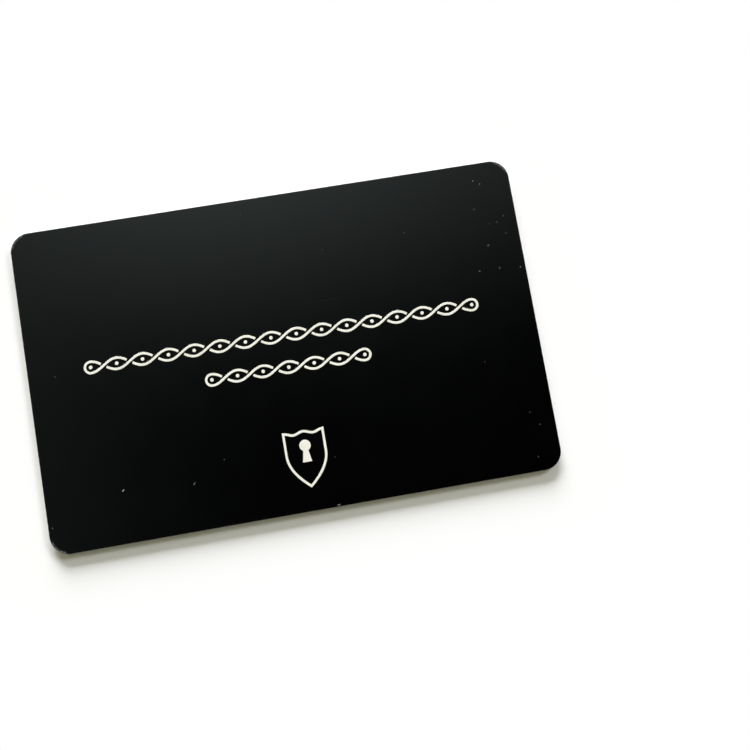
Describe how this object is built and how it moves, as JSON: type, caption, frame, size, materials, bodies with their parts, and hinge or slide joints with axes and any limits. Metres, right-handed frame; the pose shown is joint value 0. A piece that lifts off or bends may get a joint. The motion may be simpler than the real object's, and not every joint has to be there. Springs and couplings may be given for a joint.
{
  "type": "rfid blocking card",
  "caption": "Matt black laminated pocket card of the bank-card format that jams contactless readers, with cream line print and a wire antenna and chip sealed inside.",
  "frame": {"origin": "middle of the back face, on the surface that the card lies on", "axes": "+X along the card's length, to the right as the printed face is seen; +Y up the printed face; +Z out of the printed face"},
  "size_m": [0.0856, 0.054, 0.0009],
  "materials": {
    "clear_film": "clear matt film that shows the black sheet under it, satin",
    "black_sheet": "black plastic sheet",
    "white_sheet": "white plastic sheet, punched edge",
    "cream_ink": "cream screen ink",
    "enamelled_copper": "enamelled copper wire",
    "silvered_copper": "silver-plated lead frame",
    "silicon": "polished silicon die",
    "gold_wire": "gold bond wire",
    "black_epoxy": "matt moulding compound"
  },
  "bodies": {
    "root": {"front_overlay": "clear_film", "front_print_sheet": "black_sheet", "core_sheet": "white_sheet", "inlay_sheet": "white_sheet", "antenna_coil": "enamelled_copper", "upper_terminal": "silvered_copper", "lower_terminal": "silvered_copper", "die_paddle": "silvered_copper", "jammer_chip": "silicon", "upper_bond_wire": "gold_wire", "lower_bond_wire": "gold_wire", "mould_cap": "black_epoxy", "back_print_sheet": "black_sheet", "back_overlay": "clear_film"}
  },
  "joints": []
}
